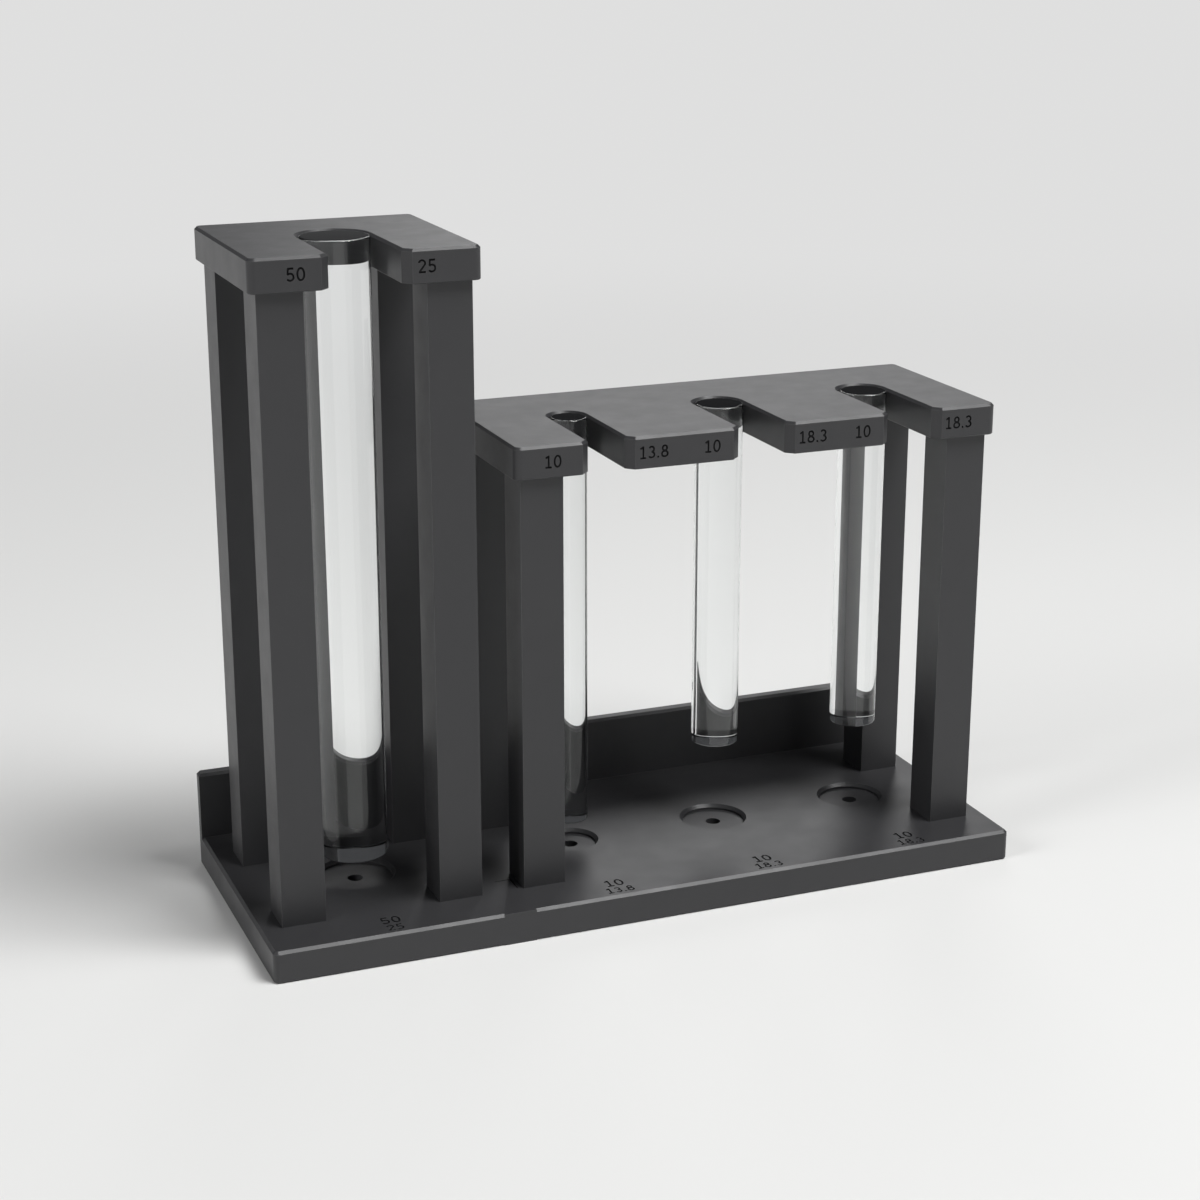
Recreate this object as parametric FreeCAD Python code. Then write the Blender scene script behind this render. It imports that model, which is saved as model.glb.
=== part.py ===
import FreeCAD
import Part
import os

# A drying rack for four glass cylinders. Lengths are in millimetres. X runs along the rack, Y from
# front to back and Z up. The origin is under the middle of the base, on the surface it stands on.
# The tower bay, on the left, takes one wide cylinder. The rack bay, on the right, takes three.

# Posts: square bars with a square tenon at each end
post_side = 16.0
tower_post_pitch = 58.4
rack_post_pitch = 168.8
depth_post_pitch = 57.4
tower_post_height = 225.0
rack_post_height = 154.3
tenon_side = 10.0
tenon_length = 6.0
tenon_lead = 0.8
socket_clearance = 0.15
socket_end_room = 0.4

# Base: one floor under both bays, with a low rail along its back edge
base_thickness = 12.0
base_end_margin = 8.1
base_front_margin = 18.8
base_back_margin = 17.0
base_corner_radius = 2.0
base_top_chamfer = 1.0
base_foot_chamfer = 0.6
rail_thickness = 5.5
rail_height = 25.9
rail_chamfer = 1.0

# Bridge: the square-edged block that ties the two bays together at the front of the base
bridge_width = 12.0
bridge_depth = 28.3
seam_width = 0.4
seam_depth = 0.4
seam_return = 7.9

# Top plates
plate_thickness = 11.7
plate_overhang = 2.8
plate_corner_radius = 2.8
plate_top_chamfer = 0.9
plate_foot_chamfer = 0.3

# Slots in the top plates, open at the front
tower_slot_width = 25.0
narrow_slot_width = 13.8
wide_slot_width = 18.3
rack_slot_pitch = 60.2
slot_end_setback = 1.6
mouth_chamfer = 3.0

# Drip cups in the floor, each with a drain hole through the base
tower_cup_diameter = 30.0
narrow_cup_diameter = 21.8
wide_cup_diameter = 26.2
cup_depth = 2.0
cup_corner_chamfer = 0.6
drain_diameter = 5.8

# Glass cylinders, standing free of the floor and held between the walls of their slots
cylinder_side_clearance = 0.15
cylinder_rim_chamfer = 0.5
cylinder_top_drop = 0.2
tower_cylinder_lift = 9.0
narrow_cylinder_lift = 9.0
wide_cylinder_lift = 32.4

# Sizes that follow from the ones above
tower_floor_length = tower_post_pitch + post_side + 2 * base_end_margin
rack_floor_length = rack_post_pitch + post_side + 2 * base_end_margin
base_length = tower_floor_length + rack_floor_length
post_row_depth = depth_post_pitch + post_side
base_depth = base_front_margin + post_row_depth + base_back_margin + rail_thickness
base_left = -base_length / 2
base_front = -base_depth / 2
base_back = base_depth / 2
joint_x = base_left + tower_floor_length
tower_x = base_left + tower_floor_length / 2
rack_x = joint_x + rack_floor_length / 2
middle_y = base_front + base_front_margin + post_row_depth / 2
plate_depth = post_row_depth + 2 * plate_overhang
socket_side = tenon_side + 2 * socket_clearance
socket_depth = tenon_length + socket_end_room

# Cut past a face by this much, so that no film of material is left on it
past = 1.0

bays = {
    "tower": {"x": tower_x, "pitch": tower_post_pitch, "height": tower_post_height},
    "rack": {"x": rack_x, "pitch": rack_post_pitch, "height": rack_post_height},
}

stations = [
    {"name": "tower", "bay": "tower", "x": tower_x, "slot": tower_slot_width,
     "cup": tower_cup_diameter, "lift": tower_cylinder_lift},
    {"name": "narrow", "bay": "rack", "x": rack_x - rack_slot_pitch, "slot": narrow_slot_width,
     "cup": narrow_cup_diameter, "lift": narrow_cylinder_lift},
    {"name": "middle", "bay": "rack", "x": rack_x, "slot": wide_slot_width,
     "cup": wide_cup_diameter, "lift": wide_cylinder_lift},
    {"name": "right", "bay": "rack", "x": rack_x + rack_slot_pitch, "slot": wide_slot_width,
     "cup": wide_cup_diameter, "lift": wide_cylinder_lift},
]


def block(x_range, y_range, z_range):
    """A plain block between three pairs of limits."""
    size = [limits[1] - limits[0] for limits in (x_range, y_range, z_range)]
    corner = FreeCAD.Vector(x_range[0], y_range[0], z_range[0])
    return Part.makeBox(size[0], size[1], size[2], corner)


def centred_block(x, y, width, depth, z_range):
    """A block centred on a point in plan."""
    return block((x - width / 2, x + width / 2), (y - depth / 2, y + depth / 2), z_range)


def upright(diameter, x, y, z_range):
    """A round bar standing between two heights."""
    foot = FreeCAD.Vector(x, y, z_range[0])
    return Part.makeCylinder(diameter / 2, z_range[1] - z_range[0], foot, FreeCAD.Vector(0, 0, 1))


def edges_at_height(shape, z):
    """The edges that lie wholly at one height."""
    return [edge for edge in shape.Edges
            if abs(edge.BoundBox.ZMin - z) < 1e-4 and abs(edge.BoundBox.ZMax - z) < 1e-4]


def upright_edges(shape, keep):
    """The vertical edges of a shape whose place in plan passes a test."""
    found = []
    for edge in shape.Edges:
        box = edge.BoundBox
        if box.XLength < 1e-4 and box.YLength < 1e-4 and keep(box.XMin, box.YMin):
            found.append(edge)
    return found


def slab(x_range, y_range, z_range, corner_radius, top_chamfer, foot_chamfer):
    """A flat slab with rounded corners in plan and chamfered top and bottom edges."""
    shape = block(x_range, y_range, z_range)
    shape = shape.makeFillet(corner_radius, upright_edges(shape, lambda x, y: True))
    shape = shape.makeChamfer(top_chamfer, edges_at_height(shape, z_range[1]))
    return shape.makeChamfer(foot_chamfer, edges_at_height(shape, z_range[0]))


def post_places(bay):
    """The names and plan positions of the four posts of a bay."""
    places = []
    for depth_name, depth_sign in (("front", -1), ("back", 1)):
        for side_name, side_sign in (("left", -1), ("right", 1)):
            x = bay["x"] + side_sign * bay["pitch"] / 2
            y = middle_y + depth_sign * depth_post_pitch / 2
            places.append((depth_name + "_" + side_name, x, y))
    return places


def plate_height(bay):
    """The height of the underside of a bay's top plate."""
    return base_thickness + bay["height"]


def back_rail():
    """The low rail, flush with the base's ends and back, with its top edges chamfered."""
    shape = block((base_left, base_left + base_length), (base_back - rail_thickness, base_back),
                  (0, base_thickness + rail_height))
    shape = shape.makeFillet(base_corner_radius, upright_edges(shape, lambda x, y: y > base_back - 1e-3))
    shape = shape.makeChamfer(rail_chamfer, edges_at_height(shape, base_thickness + rail_height))
    return shape.makeChamfer(base_foot_chamfer, outer_foot_edges(shape))


def outer_foot_edges(shape):
    """The bottom edges of the rail, without the one that lies inside the base."""
    inner = base_back - rail_thickness
    return [edge for edge in edges_at_height(shape, 0) if edge.BoundBox.YMax > inner + 1e-3]


def bridge():
    """The block across the joint of the two bays, with square edges at the front."""
    return block((joint_x - bridge_width / 2, joint_x + bridge_width / 2),
                 (base_front, base_front + bridge_depth), (0, base_thickness))


def bridge_seam():
    """The fine seam round the bridge's right rear corner, as a tool to cut with."""
    right = joint_x + bridge_width / 2
    rear = base_front + bridge_depth
    z_range = (base_thickness - seam_depth, base_thickness + past)
    across = block((joint_x, right + seam_width / 2), (rear - seam_width / 2, rear + seam_width / 2), z_range)
    forward = block((right - seam_width / 2, right + seam_width / 2), (rear - seam_return, rear), z_range)
    return across.fuse(forward)


def drip_cup(station):
    """A shallow round cup with a chamfered inside corner and a drain below it, to cut with."""
    cup = upright(station["cup"], station["x"], middle_y,
                  (base_thickness - cup_depth, base_thickness + past))
    cup = cup.makeChamfer(cup_corner_chamfer, edges_at_height(cup, base_thickness - cup_depth))
    drain = upright(drain_diameter, station["x"], middle_y, (-past, base_thickness))
    return cup.fuse(drain)


def base():
    """The floor, its back rail and bridge, with cups, drains and the sockets for the posts."""
    shape = slab((base_left, base_left + base_length), (base_front, base_back), (0, base_thickness),
                 base_corner_radius, base_top_chamfer, base_foot_chamfer)
    shape = shape.fuse([back_rail(), bridge()]).removeSplitter()
    tools = [bridge_seam()]
    for station in stations:
        tools.append(drip_cup(station))
    for bay in bays.values():
        for name, x, y in post_places(bay):
            tools.append(centred_block(x, y, socket_side, socket_side,
                                       (base_thickness - socket_depth, base_thickness + past)))
    return shape.cut(tools)


def tenon(x, y, shoulder, direction):
    """A square tenon with a chamfered lead, standing out of a post's end."""
    tip = shoulder + direction * tenon_length
    shape = centred_block(x, y, tenon_side, tenon_side, (min(shoulder, tip), max(shoulder, tip)))
    return shape.makeChamfer(tenon_lead, edges_at_height(shape, tip))


def post(x, y, top):
    """A square post between the floor and a top plate, with a tenon at each end."""
    shaft = centred_block(x, y, post_side, post_side, (base_thickness, top))
    return shaft.fuse([tenon(x, y, base_thickness, -1), tenon(x, y, top, 1)]).removeSplitter()


def slot_outline(station, front):
    """A slot's plan: a chamfered mouth at the front edge, parallel sides and a round end."""
    half = station["slot"] / 2
    x = station["x"]
    end_y = middle_y + slot_end_setback
    mouth = half + mouth_chamfer
    left_side = FreeCAD.Vector(x - half, end_y, 0)
    right_side = FreeCAD.Vector(x + half, end_y, 0)
    crown = FreeCAD.Vector(x, end_y + half, 0)
    corners = [
        right_side,
        FreeCAD.Vector(x + half, front + mouth_chamfer, 0),
        FreeCAD.Vector(x + mouth, front, 0),
        FreeCAD.Vector(x + mouth, front - past, 0),
        FreeCAD.Vector(x - mouth, front - past, 0),
        FreeCAD.Vector(x - mouth, front, 0),
        FreeCAD.Vector(x - half, front + mouth_chamfer, 0),
        left_side,
    ]
    edges = [Part.makeLine(corners[i], corners[i + 1]) for i in range(len(corners) - 1)]
    edges.append(Part.Arc(left_side, crown, right_side).toShape())
    return Part.Wire(edges)


def slot(station, front, z_range):
    """The body of a slot, to cut with."""
    outline = slot_outline(station, front)
    outline.translate(FreeCAD.Vector(0, 0, z_range[0]))
    return Part.Face(outline).extrude(FreeCAD.Vector(0, 0, z_range[1] - z_range[0]))


def top_plate(bay_name):
    """A plate on four posts, slotted from the front, its top edges chamfered all the way round."""
    bay = bays[bay_name]
    under = plate_height(bay)
    top = under + plate_thickness
    half_width = (bay["pitch"] + post_side) / 2 + plate_overhang
    front = middle_y - plate_depth / 2
    shape = block((bay["x"] - half_width, bay["x"] + half_width), (front, front + plate_depth), (under, top))
    shape = shape.makeFillet(plate_corner_radius, upright_edges(shape, lambda x, y: True))
    for station in stations:
        if station["bay"] == bay_name:
            shape = shape.cut(slot(station, front, (under - past, top + past)))
    shape = shape.makeChamfer(plate_top_chamfer, edges_at_height(shape, top))
    shape = shape.makeChamfer(plate_foot_chamfer, edges_at_height(shape, under))
    sockets = [centred_block(x, y, socket_side, socket_side, (under - past, under + socket_depth))
               for name, x, y in post_places(bay)]
    return shape.cut(sockets)


def cylinder(station):
    """A solid glass cylinder with chamfered rims, centred over its cup."""
    bottom = base_thickness + station["lift"]
    top = plate_height(bays[station["bay"]]) + plate_thickness - cylinder_top_drop
    diameter = station["slot"] - 2 * cylinder_side_clearance
    shape = upright(diameter, station["x"], middle_y, (bottom, top))
    rims = edges_at_height(shape, bottom) + edges_at_height(shape, top)
    return shape.makeChamfer(cylinder_rim_chamfer, rims)


def pieces():
    """Every piece of the rack by name."""
    named = {"base": base()}
    for bay_name, bay in bays.items():
        for place, x, y in post_places(bay):
            named[bay_name + "_post_" + place] = post(x, y, plate_height(bay))
        named[bay_name + "_top_plate"] = top_plate(bay_name)
    for station in stations:
        named["glass_cylinder_" + station["name"]] = cylinder(station)
    return named


os.makedirs("parts", exist_ok=True)
for name, shape in pieces().items():
    shape.exportStep("parts/" + name + ".step")
    print(name, len(shape.Solids), "solid", round(shape.Volume), "mm3", shape.isValid())
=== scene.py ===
import math
import bmesh
import bpy
import numpy as np
from mathutils import Matrix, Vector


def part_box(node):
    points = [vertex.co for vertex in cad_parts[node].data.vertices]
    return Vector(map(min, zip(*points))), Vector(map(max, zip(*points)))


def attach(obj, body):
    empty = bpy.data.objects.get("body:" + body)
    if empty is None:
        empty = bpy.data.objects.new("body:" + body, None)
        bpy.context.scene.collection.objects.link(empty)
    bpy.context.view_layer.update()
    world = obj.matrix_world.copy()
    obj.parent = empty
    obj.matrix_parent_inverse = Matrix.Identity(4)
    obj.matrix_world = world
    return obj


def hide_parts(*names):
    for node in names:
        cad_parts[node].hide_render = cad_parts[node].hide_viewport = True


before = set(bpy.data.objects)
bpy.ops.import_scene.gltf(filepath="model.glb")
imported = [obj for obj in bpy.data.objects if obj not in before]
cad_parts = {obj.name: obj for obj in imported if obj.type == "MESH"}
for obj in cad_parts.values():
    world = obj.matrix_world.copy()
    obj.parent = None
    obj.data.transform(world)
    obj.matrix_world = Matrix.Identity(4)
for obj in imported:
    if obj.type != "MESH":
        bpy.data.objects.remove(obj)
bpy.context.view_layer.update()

mm = 0.001
print("frame loaded:", len(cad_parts), "nodes")


# Camera, where the photograph was taken from, found from the rack's edges
photoCamera = {"place": (-0.3198, -0.7911, 0.3727), "turn": (72.63, 0.0, -21.90), "lens": 71.5,
               "sensor": 36.0, "reach": 100.0}


def addCamera(spec):
    data = bpy.data.cameras.new("photoCamera")
    data.lens = spec["lens"]
    data.sensor_width = spec["sensor"]
    data.clip_end = spec["reach"]
    camera = bpy.data.objects.new("photoCamera", data)
    camera.location = spec["place"]
    camera.rotation_euler = [math.radians(angle) for angle in spec["turn"]]
    bpy.context.collection.objects.link(camera)
    bpy.context.scene.camera = camera


addCamera(photoCamera)
bpy.context.scene.view_settings.view_transform = "Standard"
print("camera placed")


# Node groups: effects that several materials share
def newGroup(name, inputs, outputs):
    group = bpy.data.node_groups.new(name, "ShaderNodeTree")
    for label, kind, value in inputs:
        socket = group.interface.new_socket(label, in_out="INPUT", socket_type=kind)
        if value is not None:
            socket.default_value = value
    for label, kind in outputs:
        group.interface.new_socket(label, in_out="OUTPUT", socket_type=kind)
    entry = group.nodes.new("NodeGroupInput")
    leave = group.nodes.new("NodeGroupOutput")
    return group, entry, leave


def addNode(tree, kind, settings=None, values=None):
    node = tree.nodes.new(kind)
    for label, value in (settings or {}).items():
        setattr(node, label, value)
    for socket, value in (values or {}).items():
        node.inputs[socket].default_value = value
    return node


def buildGrain():
    # Fine moulded grain and soft clouding, each from 0 to 1
    group, entry, leave = newGroup(
        "surfaceGrain",
        [("Vector", "NodeSocketVector", None), ("Grain Scale", "NodeSocketFloat", 1800.0),
         ("Cloud Scale", "NodeSocketFloat", 45.0)],
        [("Grain", "NodeSocketFloat"), ("Cloud", "NodeSocketFloat")])
    grain = addNode(group, "ShaderNodeTexNoise", values={"Detail": 3.0, "Roughness": 0.6})
    cloud = addNode(group, "ShaderNodeTexNoise", values={"Detail": 4.0, "Roughness": 0.55})
    for texture, scale in ((grain, "Grain Scale"), (cloud, "Cloud Scale")):
        group.links.new(entry.outputs["Vector"], texture.inputs["Vector"])
        group.links.new(entry.outputs[scale], texture.inputs["Scale"])
    group.links.new(grain.outputs["Fac"], leave.inputs["Grain"])
    group.links.new(cloud.outputs["Fac"], leave.inputs["Cloud"])
    return group


def buildEdgeWearAndHighlight():
    # How far a rounded edge would turn from the true face, broken up by noise: 0 on a flat face and 1 on
    # an edge; it paints edges paler, partly as wear and partly as a painted highlight on the chamfers
    group, entry, leave = newGroup(
        "edgeWearAndHighlight",
        [("Vector", "NodeSocketVector", None), ("Edge Width", "NodeSocketFloat", 0.0005),
         ("Breakup Scale", "NodeSocketFloat", 160.0)],
        [("Mask", "NodeSocketFloat")])
    rounded = addNode(group, "ShaderNodeBevel", {"samples": 4})
    face = addNode(group, "ShaderNodeNewGeometry")
    turn = addNode(group, "ShaderNodeVectorMath", {"operation": "DOT_PRODUCT"})
    edge = addNode(group, "ShaderNodeMapRange", values={"From Min": 0.995, "From Max": 0.86})
    breakup = addNode(group, "ShaderNodeTexNoise", values={"Detail": 3.0, "Roughness": 0.6})
    soften = addNode(group, "ShaderNodeMapRange",
                     values={"From Min": 0.3, "From Max": 0.7, "To Min": 0.45, "To Max": 1.0})
    mask = addNode(group, "ShaderNodeMath", {"operation": "MULTIPLY", "use_clamp": True})
    link = group.links.new
    link(entry.outputs["Edge Width"], rounded.inputs["Radius"])
    link(rounded.outputs["Normal"], turn.inputs[0])
    link(face.outputs["Normal"], turn.inputs[1])
    link(turn.outputs["Value"], edge.inputs["Value"])
    link(entry.outputs["Vector"], breakup.inputs["Vector"])
    link(entry.outputs["Breakup Scale"], breakup.inputs["Scale"])
    link(breakup.outputs["Fac"], soften.inputs["Value"])
    link(edge.outputs["Result"], mask.inputs[0])
    link(soften.outputs["Result"], mask.inputs[1])
    link(mask.outputs["Value"], leave.inputs["Mask"])
    return group


grainGroup = buildGrain()
edgeWearAndHighlightGroup = buildEdgeWearAndHighlight()


def placeGroup(tree, group, values, vector):
    node = tree.nodes.new("ShaderNodeGroup")
    node.node_tree = group
    for label, value in values.items():
        node.inputs[label].default_value = value
    tree.links.new(vector, node.inputs["Vector"])
    return node


def newMaterial(name):
    material = bpy.data.materials.new(name)
    material.use_nodes = True
    tree = material.node_tree
    shader = tree.nodes["Principled BSDF"]
    place = tree.nodes.new("ShaderNodeTexCoord")
    return material, tree, shader, place.outputs["Object"]


def mixColour(tree, factor, first, second):
    # first and second are either a colour or the output of another node
    node = addNode(tree, "ShaderNodeMix", {"data_type": "RGBA"})
    ends = [socket for socket in node.inputs if socket.type == "RGBA"]
    tree.links.new(factor, node.inputs["Factor"])
    for socket, colour in zip(ends, (first, second)):
        if isinstance(colour, tuple):
            socket.default_value = colour
        else:
            tree.links.new(colour, socket)
    return [socket for socket in node.outputs if socket.type == "RGBA"][0]


# Charcoal plastic of the base, posts and plates; its edge colour is a painted highlight along edges and
# chamfers, partly also wear
charcoal = {"dark": (0.031, 0.031, 0.033, 1), "pale": (0.037, 0.037, 0.039, 1),
            "edge": (0.075, 0.075, 0.077, 1), "roughMin": 0.38, "roughMax": 0.44, "cloudMin": 0.3,
            "cloudMax": 0.7, "grainScale": 1900.0, "cloudScale": 95.0, "edgeWidth": 0.0004,
            "grainDepth": 0.00002, "grainStrength": 0.6, "specular": 0.45}


def addRoughness(tree, shader, cloud, spec):
    rough = addNode(tree, "ShaderNodeMapRange",
                    values={"From Min": spec["cloudMin"], "From Max": spec["cloudMax"],
                            "To Min": spec["roughMin"], "To Max": spec["roughMax"]})
    tree.links.new(cloud, rough.inputs["Value"])
    tree.links.new(rough.outputs["Result"], shader.inputs["Roughness"])


def buildPlastic(name, spec):
    material, tree, shader, vector = newMaterial(name)
    grain = placeGroup(tree, grainGroup,
                       {"Grain Scale": spec["grainScale"], "Cloud Scale": spec["cloudScale"]}, vector)
    wearAndHighlight = placeGroup(tree, edgeWearAndHighlightGroup, {"Edge Width": spec["edgeWidth"]}, vector)
    body = mixColour(tree, grain.outputs["Cloud"], spec["dark"], spec["pale"])
    # edges paler by the mask: painted highlight and wear
    wornAndHighlit = mixColour(tree, wearAndHighlight.outputs["Mask"], body, spec["edge"])
    bump = addNode(tree, "ShaderNodeBump",
                   values={"Strength": spec["grainStrength"], "Distance": spec["grainDepth"]})
    addRoughness(tree, shader, grain.outputs["Cloud"], spec)
    tree.links.new(wornAndHighlit, shader.inputs["Base Color"])
    tree.links.new(grain.outputs["Grain"], bump.inputs["Height"])
    tree.links.new(bump.outputs["Normal"], shader.inputs["Normal"])
    shader.inputs["Specular IOR Level"].default_value = spec["specular"]
    return material


rackPlastic = buildPlastic("charcoalPlastic", charcoal)

# The walls and floor of each cut, numbers and seam: the same plastic, rough, and darker as painted shade in
# the recesses
engraved = dict(charcoal, dark=(0.006, 0.006, 0.007, 1), pale=(0.010, 0.010, 0.011, 1),
                edge=(0.018, 0.018, 0.019, 1), roughMin=0.7, roughMax=0.8, grainDepth=0.00006,
                specular=0.25)
engravedShadePlastic = buildPlastic("engravedShadePlastic", engraved)

# Clear glass of the four cylinders
clearGlass = {"tint": (0.985, 0.995, 0.992, 1), "smear": (0.965, 0.98, 0.978, 1), "roughMin": 0.0,
              "roughMax": 0.035, "cloudMin": 0.5, "cloudMax": 0.75, "cloudScale": 28.0, "ior": 1.5}


def buildGlass(name, spec):
    material, tree, shader, vector = newMaterial(name)
    grain = placeGroup(tree, grainGroup, {"Cloud Scale": spec["cloudScale"]}, vector)
    body = mixColour(tree, grain.outputs["Cloud"], spec["tint"], spec["smear"])
    addRoughness(tree, shader, grain.outputs["Cloud"], spec)
    tree.links.new(body, shader.inputs["Base Color"])
    shader.inputs["IOR"].default_value = spec["ior"]
    shader.inputs["Transmission Weight"].default_value = 1.0
    return material


cylinderGlass = buildGlass("clearGlass", clearGlass)
print("materials made")


def addPiece(name, mesh, material):
    piece = bpy.data.objects.new(name, mesh)
    bpy.context.collection.objects.link(piece)
    if not mesh.materials:
        mesh.materials.append(material)
    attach(piece, "root")
    return piece


# Glass cylinders, turned from a profile so that their rims are round
turnedCylinder = {"rim": 0.6 * mm, "rimSteps": 8, "sideSteps": 8, "sides": 128, "inset": 0.06 * mm}


def rodProfile(radius, bottom, top, spec):
    # Half the outline as (radius, height) pairs from the lower pole to the upper: flat end, quarter
    # circle of the rim's radius, straight side, quarter circle, flat end
    rim = spec["rim"]
    turn = np.linspace(0.0, math.pi / 2, spec["rimSteps"] + 1)
    lower = np.stack([radius - rim + rim * np.sin(turn), bottom + rim - rim * np.cos(turn)], axis=1)
    upper = np.stack([radius - rim + rim * np.cos(turn), top - rim + rim * np.sin(turn)], axis=1)
    lowerEnd = np.array([[radius - rim - spec["inset"], bottom]])
    upperEnd = np.array([[radius - rim - spec["inset"], top]])
    side = np.linspace(lower[-1], upper[0], spec["sideSteps"] + 1)[1:-1]
    return np.concatenate([lowerEnd, lower, side, upper, upperEnd])


def turnedMesh(name, centre, profile, poles, sides):
    # Each profile point (r, h) goes round the upright axis: x = cx + r cos a, y = cy + r sin a, z = h.
    # One more vertex closes each end.
    angle = np.arange(sides) * 2 * math.pi / sides
    rings = len(profile)
    grid = np.empty((rings, sides, 3))
    grid[:, :, 0] = centre[0] + profile[:, 0:1] * np.cos(angle)
    grid[:, :, 1] = centre[1] + profile[:, 0:1] * np.sin(angle)
    grid[:, :, 2] = profile[:, 1:2]
    ends = [[centre[0], centre[1], pole] for pole in poles]
    verts = np.concatenate([grid.reshape(-1, 3), ends])
    ring, step = np.meshgrid(np.arange(rings - 1), np.arange(sides), indexing="ij")
    after = (step + 1) % sides
    quads = np.stack([ring * sides + step, ring * sides + after,
                      (ring + 1) * sides + after, (ring + 1) * sides + step], axis=-1).reshape(-1, 4)
    here = np.arange(sides)
    there = (here + 1) % sides
    last = (rings - 1) * sides
    lowerFan = np.stack([there, here, np.full(sides, rings * sides)], axis=1)
    upperFan = np.stack([last + here, last + there, np.full(sides, rings * sides + 1)], axis=1)
    mesh = bpy.data.meshes.new(name)
    mesh.from_pydata(verts.tolist(), [], quads.tolist() + lowerFan.tolist() + upperFan.tolist())
    mesh.shade_smooth()
    return mesh


def addCylinder(station):
    node = "glass_cylinder_" + station
    low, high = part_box(node)
    centre = ((low.x + high.x) / 2, (low.y + high.y) / 2)
    profile = rodProfile((high.x - low.x) / 2, low.z, high.z, turnedCylinder)
    mesh = turnedMesh("turnedGlass_" + station, centre, profile, (low.z, high.z), turnedCylinder["sides"])
    piece = addPiece("turnedGlass_" + station, mesh, cylinderGlass)
    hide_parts(node)


for station in ("tower", "narrow", "middle", "right"):
    addCylinder(station)
print("glass cylinders turned")


# Plain numbers cut into the plates' front edges and the base's front margin
plateNumbers = {
    "tower_top_plate": [("50", -124.7), ("25", -80.0)],
    "rack_top_plate": [("10", -35.9), ("13.8", 2.1), ("10", 24.7), ("18.3", 64.5), ("10", 84.8),
                       ("18.3", 124.6)],
}
baseNumbers = [("50", "25", -100.5), ("10", "13.8", -14.9), ("10", "18.3", 45.3), ("10", "18.3", 105.5)]
lettering = {"plateHeight": 4.6 * mm, "firstHeight": 5.2 * mm, "secondHeight": 4.4 * mm,
             "firstLine": -46.2 * mm, "secondLine": -52.4 * mm, "widen": 0.95, "depth": 0.5 * mm,
             "floorStep": 0.01, "stroke": 0.16, "gap": 0.15, "sharpAngle": 24, "weld": 1e-6}
ringPoints = 24  # a stroke with this many points is a closed ring


def arc(centre, radii, start, end, count=15):
    # Points of an ellipse between two angles in degrees: (cx + rx cos a, cy + ry sin a)
    angle = np.radians(np.linspace(start, end, count))
    return np.stack([centre[0] + radii[0] * np.cos(angle), centre[1] + radii[1] * np.sin(angle)], axis=1)


def line(*points):
    return np.array(points, float)


# Each figure as the centre lines of its strokes, in a cell 1 high, with the cell's width
figures = {
    "0": (0.66, [arc((0.33, 0.50), (0.26, 0.43), 0, 345, ringPoints)]),
    "1": (0.62, [line((0.34, 0.0), (0.34, 1.0)), line((0.36, 0.96), (0.08, 0.79)),
                 line((0.06, 0.07), (0.60, 0.07))]),
    "2": (0.64, [np.concatenate([arc((0.31, 0.71), (0.25, 0.22), 170, -35), line((0.09, 0.09))]),
                 line((0.03, 0.07), (0.61, 0.07))]),
    "3": (0.62, [arc((0.29, 0.725), (0.215, 0.205), 155, -95),
                 arc((0.29, 0.285), (0.25, 0.215), 95, -155)]),
    "5": (0.64, [line((0.12, 0.93), (0.57, 0.93)), line((0.15, 0.98), (0.11, 0.49)),
                 arc((0.30, 0.325), (0.265, 0.255), 142, -150)]),
    "8": (0.66, [arc((0.33, 0.735), (0.20, 0.195), 0, 345, ringPoints),
                 arc((0.33, 0.285), (0.26, 0.215), 0, 345, ringPoints)]),
    ".": (0.20, [line((0.10, 0.0), (0.10, 0.17))]),
}


def strokeShell(path, closed, width, depth):
    # A flat-bottomed cutter: a rectangle's four corners carried along the path, at half the width to
    # each side of it and as deep below the surface as it stands above
    if closed:
        along = np.roll(path, -1, axis=0) - np.roll(path, 1, axis=0)
    else:
        along = np.gradient(path, axis=0)
    length = np.linalg.norm(along, axis=1)[:, None]
    across = np.stack([-along[:, 1], along[:, 0]], axis=1) / length * width / 2
    corners = np.empty((len(path), 4, 3))
    for index, (side, level) in enumerate(((1, -depth), (-1, -depth), (-1, depth), (1, depth))):
        corners[:, index, :2] = path + side * across
        corners[:, index, 2] = level
    count = len(path)
    step, corner = np.meshgrid(np.arange(count if closed else count - 1), np.arange(4), indexing="ij")
    after, turn = (step + 1) % count, (corner + 1) % 4
    faces = np.stack([step * 4 + corner, step * 4 + turn, after * 4 + turn, after * 4 + corner], axis=-1)
    faces = faces.reshape(-1, 4).tolist()
    if not closed:
        faces += [[3, 2, 1, 0], [count * 4 - 4, count * 4 - 3, count * 4 - 2, count * 4 - 1]]
    return corners.reshape(-1, 3), faces


def numberMesh(text, height, spec):
    # The figures set side by side, scaled to a height and centred on the origin
    points, faces, used, start = [], [], 0, 0.0
    for sign in text:
        width, strokes = figures[sign]
        for number, path in enumerate(strokes):
            closed = len(path) == ringPoints
            # no two overlapping floors at one level
            level = spec["depth"] / height * (1 + spec["floorStep"] * number)
            corners, shell = strokeShell(path + [start, 0.0], closed, spec["stroke"], level)
            points.append(corners)
            faces += [[corner + used for corner in face] for face in shell]
            used += len(corners)
        start += width + spec["gap"]
    span = start - spec["gap"]
    points = (np.concatenate(points) - [span / 2, 0.5, 0.0]) * [height * spec["widen"], height, height]
    mesh = bpy.data.meshes.new("number")
    mesh.from_pydata(points.tolist(), [], faces)
    return mesh


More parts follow.
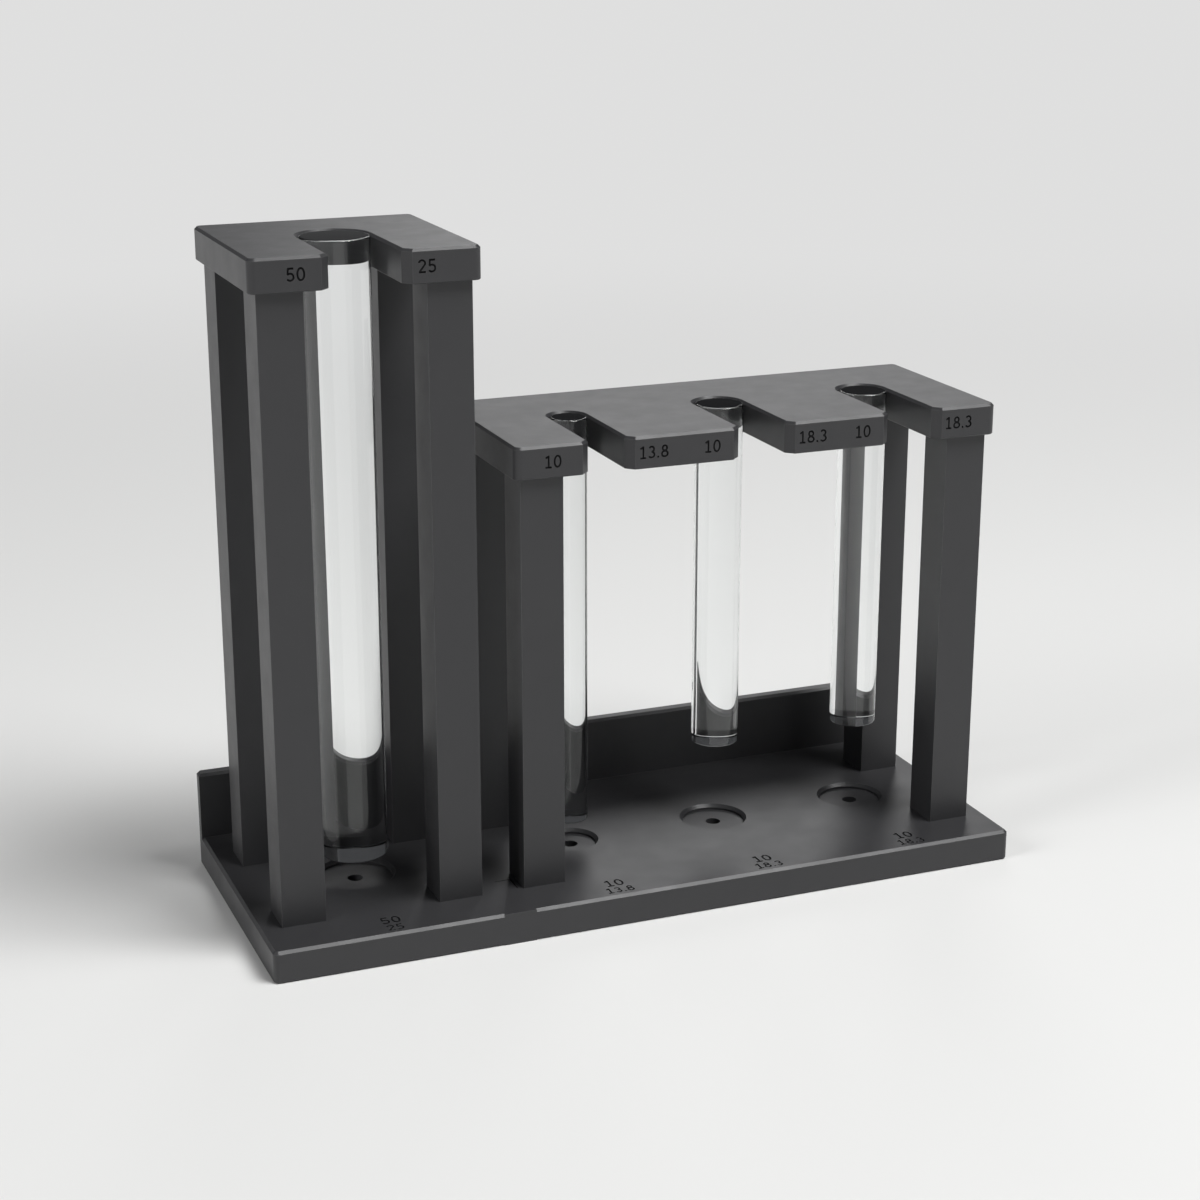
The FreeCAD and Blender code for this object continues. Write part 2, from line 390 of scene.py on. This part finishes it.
def splitEdges(mesh, limit):
    # Smooth faces, sharp along every edge that turns by more than the limit
    form = bmesh.new()
    form.from_mesh(mesh)
    for face in form.faces:
        face.smooth = True
    for edge in form.edges:
        edge.smooth = edge.calc_face_angle(math.pi) < limit
    form.to_mesh(mesh)
    form.free()
    if "custom_normal" in mesh.attributes:
        mesh.attributes.remove(mesh.attributes["custom_normal"])


# Drip cups: in the base's copy their walls start with a chamfer at the rim, as the photograph shows
cups = {"across": [("tower", 30.0), ("narrow", 21.8), ("middle", 26.2), ("right", 26.2)], "depth": 2.0 * mm,
        "chamfer": 1.15 * mm, "reach": 1.0 * mm, "slack": 0.1 * mm}
# The fine seam round the bridge's right rear corner, cut a second time slightly wider, its walls darkened
# with painted shade
seam = {"right": -49.2 * mm, "rear": -29.05 * mm, "across": 6.0 * mm, "forward": 7.9 * mm,
        "width": 0.5 * mm, "depth": 0.7 * mm, "floorStep": 0.02}


def chamferCups(mesh, spec, top):
    # Both rings of vertices inside a cup's wall go in to the radius less the chamfer, and the upper
    # one to the chamfer's depth below the floor's top. A ring is known by its distance from the wall,
    # within the reach, and by its depth, with some slack.
    points = np.empty(len(mesh.vertices) * 3)
    mesh.vertices.foreach_get("co", points)
    points = points.reshape(-1, 3)
    for station, across in spec["across"]:
        low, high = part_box("glass_cylinder_" + station)
        centre = np.array([(low.x + high.x) / 2, (low.y + high.y) / 2])
        radius = across / 2 * mm
        away = points[:, :2] - centre
        reach = np.hypot(away[:, 0], away[:, 1])
        drop = top - points[:, 2]
        wall = np.abs(reach - radius) < spec["reach"]
        wall &= (drop > spec["slack"]) & (drop < spec["depth"] + spec["slack"])
        upper = wall & (drop < spec["depth"] - spec["slack"])
        points[wall, :2] = centre + away[wall] * ((radius - spec["chamfer"]) / reach[wall])[:, None]
        points[upper, 2] = top - spec["chamfer"]
        print("cup", station, "rings moved:", int(wall.sum()), "of which upper", int(upper.sum()))
    mesh.vertices.foreach_set("co", points.ravel())


def seamCutter(spec, top):
    # An L of two strokes, with their meeting corner shared and their floors at two levels
    right, rear = spec["right"], spec["rear"]
    along = [line((right - spec["across"], rear), (right + spec["width"] / 2, rear)),
             line((right, rear - spec["width"] / 4), (right, rear - spec["forward"]))]
    points, faces, used = [], [], 0
    for number, path in enumerate(along):
        depth = spec["depth"] * (1 + spec["floorStep"] * number)
        corners, shell = strokeShell(path, False, spec["width"], depth)
        faces += [[corner + used for corner in face] for face in shell]
        used += len(corners)
        points.append(corners + [0, 0, top])
    mesh = bpy.data.meshes.new("seam")
    mesh.from_pydata(np.concatenate(points).tolist(), [], faces)
    return mesh


def cutNumbers(node, numbers, extras=(), reshape=None):
    # A copy of the CAD node, its loose triangles merged, with the numbers and further cutters taken
    # out of it
    form = bmesh.new()
    form.from_mesh(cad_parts[node].data)
    bmesh.ops.remove_doubles(form, verts=form.verts, dist=lettering["weld"])
    mesh = bpy.data.meshes.new("engraved_" + node)
    form.to_mesh(mesh)
    form.free()
    if reshape:
        reshape(mesh)
    cutter = bmesh.new()
    for text, height, place in numbers:
        number = numberMesh(text, height, lettering)
        number.transform(place)
        cutter.from_mesh(number)
    for extra in extras:
        cutter.from_mesh(extra)
    bmesh.ops.recalc_face_normals(cutter, faces=cutter.faces)
    cutterMesh = bpy.data.meshes.new("cutter")
    cutter.to_mesh(cutterMesh)
    cutter.free()
    cutterMesh.materials.append(engravedShadePlastic)
    mesh.materials.clear()
    mesh.materials.append(rackPlastic)
    whole = bpy.data.objects.new("whole", mesh)
    tool = bpy.data.objects.new("tool", cutterMesh)
    for item in (whole, tool):
        bpy.context.collection.objects.link(item)
    cut = whole.modifiers.new("cut", "BOOLEAN")
    cut.operation = "DIFFERENCE"
    cut.solver = "EXACT"
    cut.use_self = True
    cut.object = tool
    # the cut walls and floors take the cutter's plastic, darkened as painted shade
    cut.material_mode = "TRANSFER"
    result = bpy.data.meshes.new_from_object(whole.evaluated_get(bpy.context.evaluated_depsgraph_get()))
    for item in (whole, tool):
        bpy.data.objects.remove(item)
    splitEdges(result, math.radians(lettering["sharpAngle"]))
    piece = addPiece("engraved_" + node, result, rackPlastic)
    even = piece.modifiers.new("evenShading", "WEIGHTED_NORMAL")
    even.keep_sharp = True
    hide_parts(node)
    print(node, "engraved:", len(result.polygons), "faces")


upright = Matrix.Rotation(math.pi / 2, 4, "X")
for node, row in plateNumbers.items():
    low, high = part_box(node)
    middle = (low.z + high.z) / 2
    plateCuts = [(text, lettering["plateHeight"], Matrix.Translation((x * mm, low.y, middle)) @ upright)
                 for text, x in row]
    cutNumbers(node, plateCuts)

tenonLength = 6 * mm
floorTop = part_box("rack_post_front_left")[0].z + tenonLength
baseCuts = []
for first, second, x in baseNumbers:
    for text, which in ((first, "first"), (second, "second")):
        place = Matrix.Translation((x * mm, lettering[which + "Line"], floorTop))
        baseCuts.append((text, lettering[which + "Height"], place))
cutNumbers("base", baseCuts, [seamCutter(seam, floorTop)], lambda mesh: chamferCups(mesh, cups, floorTop))

for name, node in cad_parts.items():
    if "post" in name:
        node.data.materials.clear()
        node.data.materials.append(rackPlastic)
print("plastic given to the posts")


# Floor and light: a plain pale floor under soft lamps and a sky that darkens overhead
studio = {"floor": (0.78, 0.78, 0.77, 1), "clouding": 0.985, "cloudScale": 2.0, "rough": 0.8,
          "specular": 0.15, "backdrop": (0.74, 0.74, 0.738, 1), "radius": 20.0, "rings": 14, "sides": 96,
          "fadeFrom": 0.3, "fadeTo": 1.5, "overhead": (0.05, 0.051, 0.054, 1), "skyFrom": 0.05,
          "skyTo": 0.17, "aimHeight": 0.1}
lamps = [
    {"name": "key", "place": (-3.0, -0.5, 1.65), "size": 1.5, "power": 44.0},
    {"name": "overhead", "place": (0.92, -1.05, 2.45), "size": 1.4, "power": 80.0},
    {"name": "back", "place": (1.15, 2.45, 1.50), "size": 1.2, "power": 10.0},
]


def backgroundMask(tree):
    # 1 where the camera, a mirror reflection or clear glass looks straight at the surface
    path = tree.nodes.new("ShaderNodeLightPath")
    first = addNode(tree, "ShaderNodeMath", {"operation": "MAXIMUM"})
    second = addNode(tree, "ShaderNodeMath", {"operation": "MAXIMUM"})
    tree.links.new(path.outputs["Is Camera Ray"], first.inputs[0])
    tree.links.new(path.outputs["Is Glossy Ray"], first.inputs[1])
    tree.links.new(first.outputs["Value"], second.inputs[0])
    tree.links.new(path.outputs["Is Transmission Ray"], second.inputs[1])
    return second.outputs["Value"]


def floorMaterial(spec):
    # Pale and matt near the rack, fading into an even backdrop far from it
    material, tree, shader, vector = newMaterial("paleFloor")
    grain = placeGroup(tree, grainGroup, {"Cloud Scale": spec["cloudScale"]}, vector)
    shade = tuple(value * spec["clouding"] for value in spec["floor"][:3]) + (1,)
    paint = mixColour(tree, grain.outputs["Cloud"], spec["floor"], shade)
    tree.links.new(paint, shader.inputs["Base Color"])
    shader.inputs["Roughness"].default_value = spec["rough"]
    shader.inputs["Specular IOR Level"].default_value = spec["specular"]
    glow = addNode(tree, "ShaderNodeEmission", values={"Color": spec["backdrop"], "Strength": 1.0})
    far = addNode(tree, "ShaderNodeVectorMath", {"operation": "LENGTH"})
    fade = addNode(tree, "ShaderNodeMapRange", {"interpolation_type": "SMOOTHSTEP"},
                   {"From Min": spec["fadeFrom"], "From Max": spec["fadeTo"]})
    amount = addNode(tree, "ShaderNodeMath", {"operation": "MULTIPLY"})
    blend = tree.nodes.new("ShaderNodeMixShader")
    tree.links.new(vector, far.inputs[0])
    tree.links.new(far.outputs["Value"], fade.inputs["Value"])
    tree.links.new(fade.outputs["Result"], amount.inputs[0])
    tree.links.new(backgroundMask(tree), amount.inputs[1])
    tree.links.new(amount.outputs["Value"], blend.inputs["Fac"])
    tree.links.new(shader.outputs["BSDF"], blend.inputs[1])
    tree.links.new(glow.outputs["Emission"], blend.inputs[2])
    tree.links.new(blend.outputs["Shader"], tree.nodes["Material Output"].inputs["Surface"])
    return material


def addFloor(spec):
    # A flat disc, x = r cos a and y = r sin a, its rings closer together near the middle
    rings, sides = spec["rings"], spec["sides"]
    angle = np.arange(sides) * 2 * math.pi / sides
    reach = spec["radius"] * np.linspace(0.0, 1.0, rings + 1)[1:] ** 2
    grid = np.stack([reach[:, None] * np.cos(angle), reach[:, None] * np.sin(angle),
                     np.zeros((rings, sides))], axis=-1)
    ring, step = np.meshgrid(np.arange(rings - 1), np.arange(sides), indexing="ij")
    after = (step + 1) % sides
    quads = np.stack([ring * sides + step, (ring + 1) * sides + step, (ring + 1) * sides + after,
                      ring * sides + after], axis=-1).reshape(-1, 4)
    mesh = bpy.data.meshes.new("floor")
    mesh.from_pydata(grid.reshape(-1, 3).tolist(), [], quads.tolist() + [list(range(sides))])
    mesh.materials.append(floorMaterial(spec))
    floor = bpy.data.objects.new("floor", mesh)
    bpy.context.collection.objects.link(floor)


def addWorld(spec):
    # Pale at the horizon, darker overhead
    world = bpy.data.worlds.new("softSky")
    world.use_nodes = True
    tree = world.node_tree
    background = tree.nodes["Background"]
    direction = tree.nodes.new("ShaderNodeTexCoord")
    split = tree.nodes.new("ShaderNodeSeparateXYZ")
    rise = addNode(tree, "ShaderNodeMapRange", {"interpolation_type": "SMOOTHSTEP"},
                   {"From Min": spec["skyFrom"], "From Max": spec["skyTo"]})
    tree.links.new(direction.outputs["Generated"], split.inputs["Vector"])
    tree.links.new(split.outputs["Z"], rise.inputs["Value"])
    tree.links.new(mixColour(tree, rise.outputs["Result"], spec["backdrop"], spec["overhead"]),
                   background.inputs["Color"])
    bpy.context.scene.world = world


def addLamp(spec):
    data = bpy.data.lights.new(spec["name"], "AREA")
    data.shape = "SQUARE"
    data.size = spec["size"]
    data.energy = spec["power"]
    lamp = bpy.data.objects.new(spec["name"], data)
    lamp.location = spec["place"]
    lamp.visible_transmission = False  # the glass shows the pale surroundings, not the lamps' own outlines
    aim = -lamp.location
    aim.z += studio["aimHeight"]
    lamp.rotation_euler = aim.to_track_quat("-Z", "Y").to_euler()
    bpy.context.collection.objects.link(lamp)


addFloor(studio)
addWorld(studio)
for lamp in lamps:
    addLamp(lamp)
print("studio lit")
